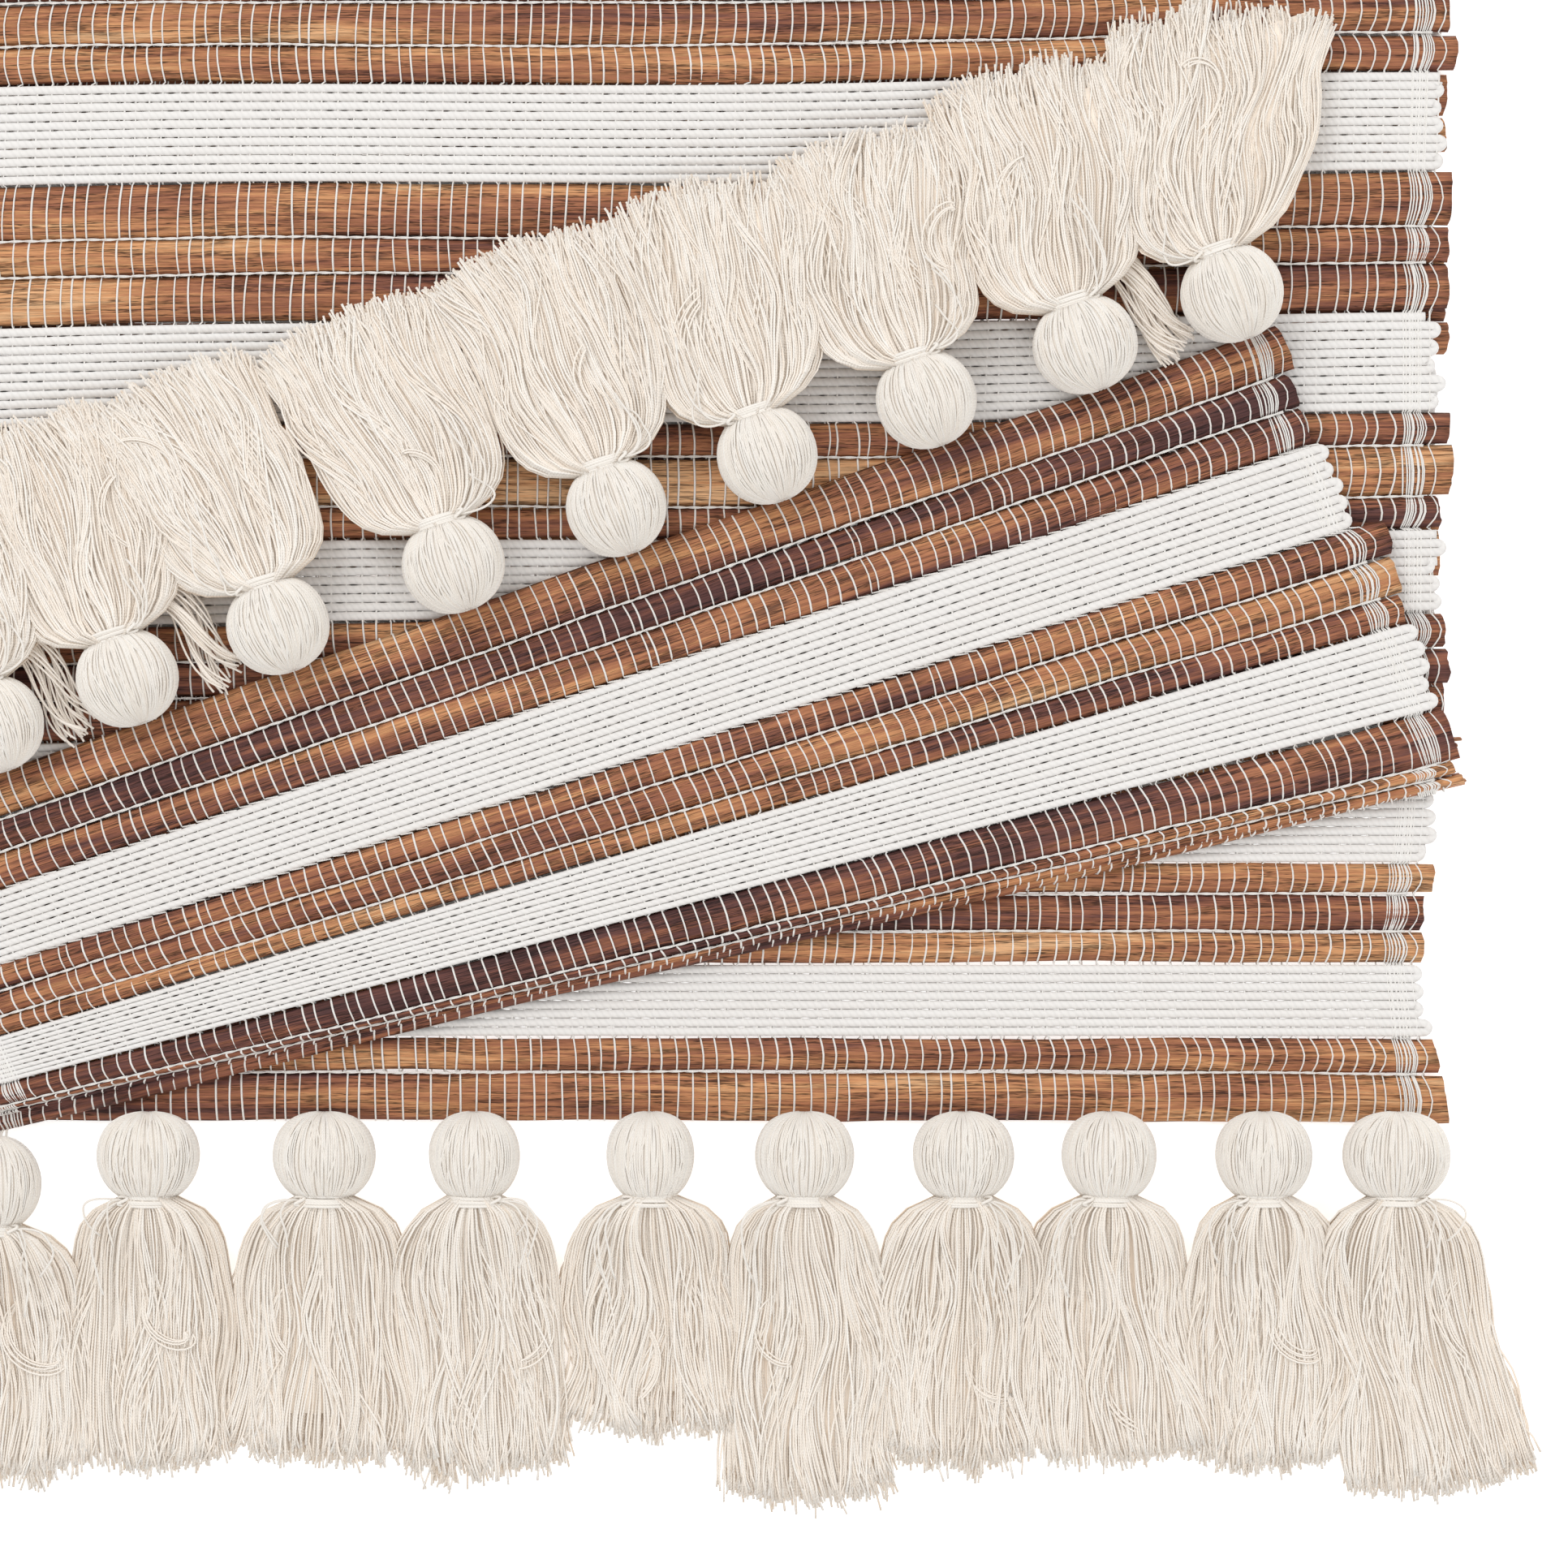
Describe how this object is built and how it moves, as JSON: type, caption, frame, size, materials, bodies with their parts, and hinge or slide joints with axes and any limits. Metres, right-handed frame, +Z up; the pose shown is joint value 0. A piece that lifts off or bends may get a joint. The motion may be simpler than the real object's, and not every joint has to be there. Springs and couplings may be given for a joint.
{
  "type": "table runner",
  "caption": "Folded table runner woven of brown bark slats and white cotton rope bands, with full cream tassels hanging from both hems",
  "frame": {"origin": "middle of the underside of the lower run, on the surface that the runner lies on", "axes": "+X along the slats, +Y from the near hem towards the far fold, +Z up out of the surface"},
  "size_m": [0.4168, 0.882, 0.0284],
  "materials": {
    "bark_slat": "matte plant bark, fine grain along the slat, tan to dark brown",
    "cotton_rope": "soft bleached cotton rope, matte",
    "warp_thread": "thin twisted cotton thread, matte",
    "tassel_yarn": "natural cream cotton yarn, two ply, matte"
  },
  "bodies": {
    "lower_run": {"near_hem_slat": "bark_slat", "lower_slats_1": "bark_slat", "lower_slats_2": "bark_slat", "lower_slats_3": "bark_slat", "lower_slats_4": "bark_slat", "lower_cotton_1": "cotton_rope", "lower_cotton_2": "cotton_rope", "lower_cotton_3": "cotton_rope", "lower_cotton_4": "cotton_rope", "lower_warp_threads": "warp_thread", "lower_twining": "warp_thread"},
    "upper_run": {"upper_slats_1": "bark_slat", "upper_slats_2": "bark_slat", "upper_slats_3": "bark_slat", "upper_slats_4": "bark_slat", "upper_cotton_1": "cotton_rope", "upper_cotton_2": "cotton_rope", "upper_cotton_3": "cotton_rope", "upper_cotton_4": "cotton_rope", "upper_warp_threads": "warp_thread", "upper_twining": "warp_thread", "fanned_slats": "bark_slat", "fanned_cotton": "cotton_rope"},
    "flap": {"flap_hem_slat": "bark_slat", "flap_outer_slats": "bark_slat", "flap_inner_slats": "bark_slat", "fold_slats": "bark_slat", "flap_cotton_1": "cotton_rope", "flap_cotton_2": "cotton_rope", "flap_warp_threads": "warp_thread", "flap_twining": "warp_thread"},
    "near_tassel_1": {"near_tassel_1": "tassel_yarn"},
    "near_tassel_2": {"near_tassel_2": "tassel_yarn"},
    "near_tassel_3": {"near_tassel_3": "tassel_yarn"},
    "near_tassel_4": {"near_tassel_4": "tassel_yarn"},
    "near_tassel_5": {"near_tassel_5": "tassel_yarn"},
    "near_tassel_6": {"near_tassel_6": "tassel_yarn"},
    "near_tassel_7": {"near_tassel_7": "tassel_yarn"},
    "near_tassel_8": {"near_tassel_8": "tassel_yarn"},
    "near_tassel_9": {"near_tassel_9": "tassel_yarn"},
    "near_tassel_10": {"near_tassel_10": "tassel_yarn"},
    "flap_tassel_1": {"flap_tassel_1": "tassel_yarn"},
    "flap_tassel_2": {"flap_tassel_2": "tassel_yarn"},
    "flap_tassel_3": {"flap_tassel_3": "tassel_yarn"},
    "flap_tassel_4": {"flap_tassel_4": "tassel_yarn"},
    "flap_tassel_5": {"flap_tassel_5": "tassel_yarn"},
    "flap_tassel_6": {"flap_tassel_6": "tassel_yarn"},
    "flap_tassel_7": {"flap_tassel_7": "tassel_yarn"},
    "flap_tassel_8": {"flap_tassel_8": "tassel_yarn"},
    "flap_tassel_9": {"flap_tassel_9": "tassel_yarn"},
    "flap_tassel_10": {"flap_tassel_10": "tassel_yarn"}
  },
  "joints": [
    {"name": "far_fold", "type": "hinge", "parent": "lower_run", "child": "upper_run", "pos_m": [0, 0.4, 0.00305], "axis": [-1, 0, 0], "range_deg": [0, 110]},
    {"name": "flap_fold", "type": "hinge", "parent": "upper_run", "child": "flap", "pos_m": [0.1797, -0.3212, 0.00625], "axis": [0.9753, 0.2207, 0], "range_deg": [0, 75]},
    {"name": "near_tassel_1_lift", "type": "hinge", "parent": "lower_run", "child": "near_tassel_1", "pos_m": [-0.163, -0.4, 0.0012], "axis": [-1, 0, 0], "range_deg": [0, 5]},
    {"name": "near_tassel_2_lift", "type": "hinge", "parent": "lower_run", "child": "near_tassel_2", "pos_m": [-0.127, -0.4, 0.0012], "axis": [-1, 0, 0], "range_deg": [0, 20]},
    {"name": "near_tassel_3_lift", "type": "hinge", "parent": "lower_run", "child": "near_tassel_3", "pos_m": [-0.086, -0.4, 0.0012], "axis": [-1, 0, 0], "range_deg": [0, 45]},
    {"name": "near_tassel_4_lift", "type": "hinge", "parent": "lower_run", "child": "near_tassel_4", "pos_m": [-0.051, -0.4, 0.0012], "axis": [-1, 0, 0], "range_deg": [0, 45]},
    {"name": "near_tassel_5_lift", "type": "hinge", "parent": "lower_run", "child": "near_tassel_5", "pos_m": [-0.01, -0.4, 0.0012], "axis": [-1, 0, 0], "range_deg": [0, 45]},
    {"name": "near_tassel_6_lift", "type": "hinge", "parent": "lower_run", "child": "near_tassel_6", "pos_m": [0.026, -0.4, 0.0012], "axis": [-1, 0, 0], "range_deg": [0, 45]},
    {"name": "near_tassel_7_lift", "type": "hinge", "parent": "lower_run", "child": "near_tassel_7", "pos_m": [0.063, -0.4, 0.0012], "axis": [-1, 0, 0], "range_deg": [0, 45]},
    {"name": "near_tassel_8_lift", "type": "hinge", "parent": "lower_run", "child": "near_tassel_8", "pos_m": [0.097, -0.4, 0.0012], "axis": [-1, 0, 0], "range_deg": [0, 45]},
    {"name": "near_tassel_9_lift", "type": "hinge", "parent": "lower_run", "child": "near_tassel_9", "pos_m": [0.133, -0.4, 0.0012], "axis": [-1, 0, 0], "range_deg": [0, 45]},
    {"name": "near_tassel_10_lift", "type": "hinge", "parent": "lower_run", "child": "near_tassel_10", "pos_m": [0.164, -0.4, 0.0012], "axis": [-1, 0, 0], "range_deg": [0, 45]},
    {"name": "flap_tassel_1_lift", "type": "hinge", "parent": "flap", "child": "flap_tassel_1", "pos_m": [-0.19282, -0.32836, 0.0076], "axis": [0.9444, 0.3289, 0], "range_deg": [0, 35]},
    {"name": "flap_tassel_2_lift", "type": "hinge", "parent": "flap", "child": "flap_tassel_2", "pos_m": [-0.15882, -0.31652, 0.0076], "axis": [0.9444, 0.3289, 0], "range_deg": [0, 35]},
    {"name": "flap_tassel_3_lift", "type": "hinge", "parent": "flap", "child": "flap_tassel_3", "pos_m": [-0.12766, -0.30567, 0.0076], "axis": [0.9444, 0.3289, 0], "range_deg": [0, 35]},
    {"name": "flap_tassel_4_lift", "type": "hinge", "parent": "flap", "child": "flap_tassel_4", "pos_m": [-0.09272, -0.2935, 0.0076], "axis": [0.9444, 0.3289, 0], "range_deg": [0, 35]},
    {"name": "flap_tassel_5_lift", "type": "hinge", "parent": "flap", "child": "flap_tassel_5", "pos_m": [-0.05211, -0.27936, 0.0076], "axis": [0.9444, 0.3289, 0], "range_deg": [0, 35]},
    {"name": "flap_tassel_6_lift", "type": "hinge", "parent": "flap", "child": "flap_tassel_6", "pos_m": [-0.01433, -0.26621, 0.0076], "axis": [0.9444, 0.3289, 0], "range_deg": [0, 35]},
    {"name": "flap_tassel_7_lift", "type": "hinge", "parent": "flap", "child": "flap_tassel_7", "pos_m": [0.02061, -0.25404, 0.0076], "axis": [0.9444, 0.3289, 0], "range_deg": [0, 35]},
    {"name": "flap_tassel_8_lift", "type": "hinge", "parent": "flap", "child": "flap_tassel_8", "pos_m": [0.05744, -0.24121, 0.0076], "axis": [0.9444, 0.3289, 0], "range_deg": [0, 35]},
    {"name": "flap_tassel_9_lift", "type": "hinge", "parent": "flap", "child": "flap_tassel_9", "pos_m": [0.09427, -0.22839, 0.0076], "axis": [0.9444, 0.3289, 0], "range_deg": [0, 35]},
    {"name": "flap_tassel_10_lift", "type": "hinge", "parent": "flap", "child": "flap_tassel_10", "pos_m": [0.12827, -0.21655, 0.0076], "axis": [0.9444, 0.3289, 0], "range_deg": [0, 35]}
  ]
}
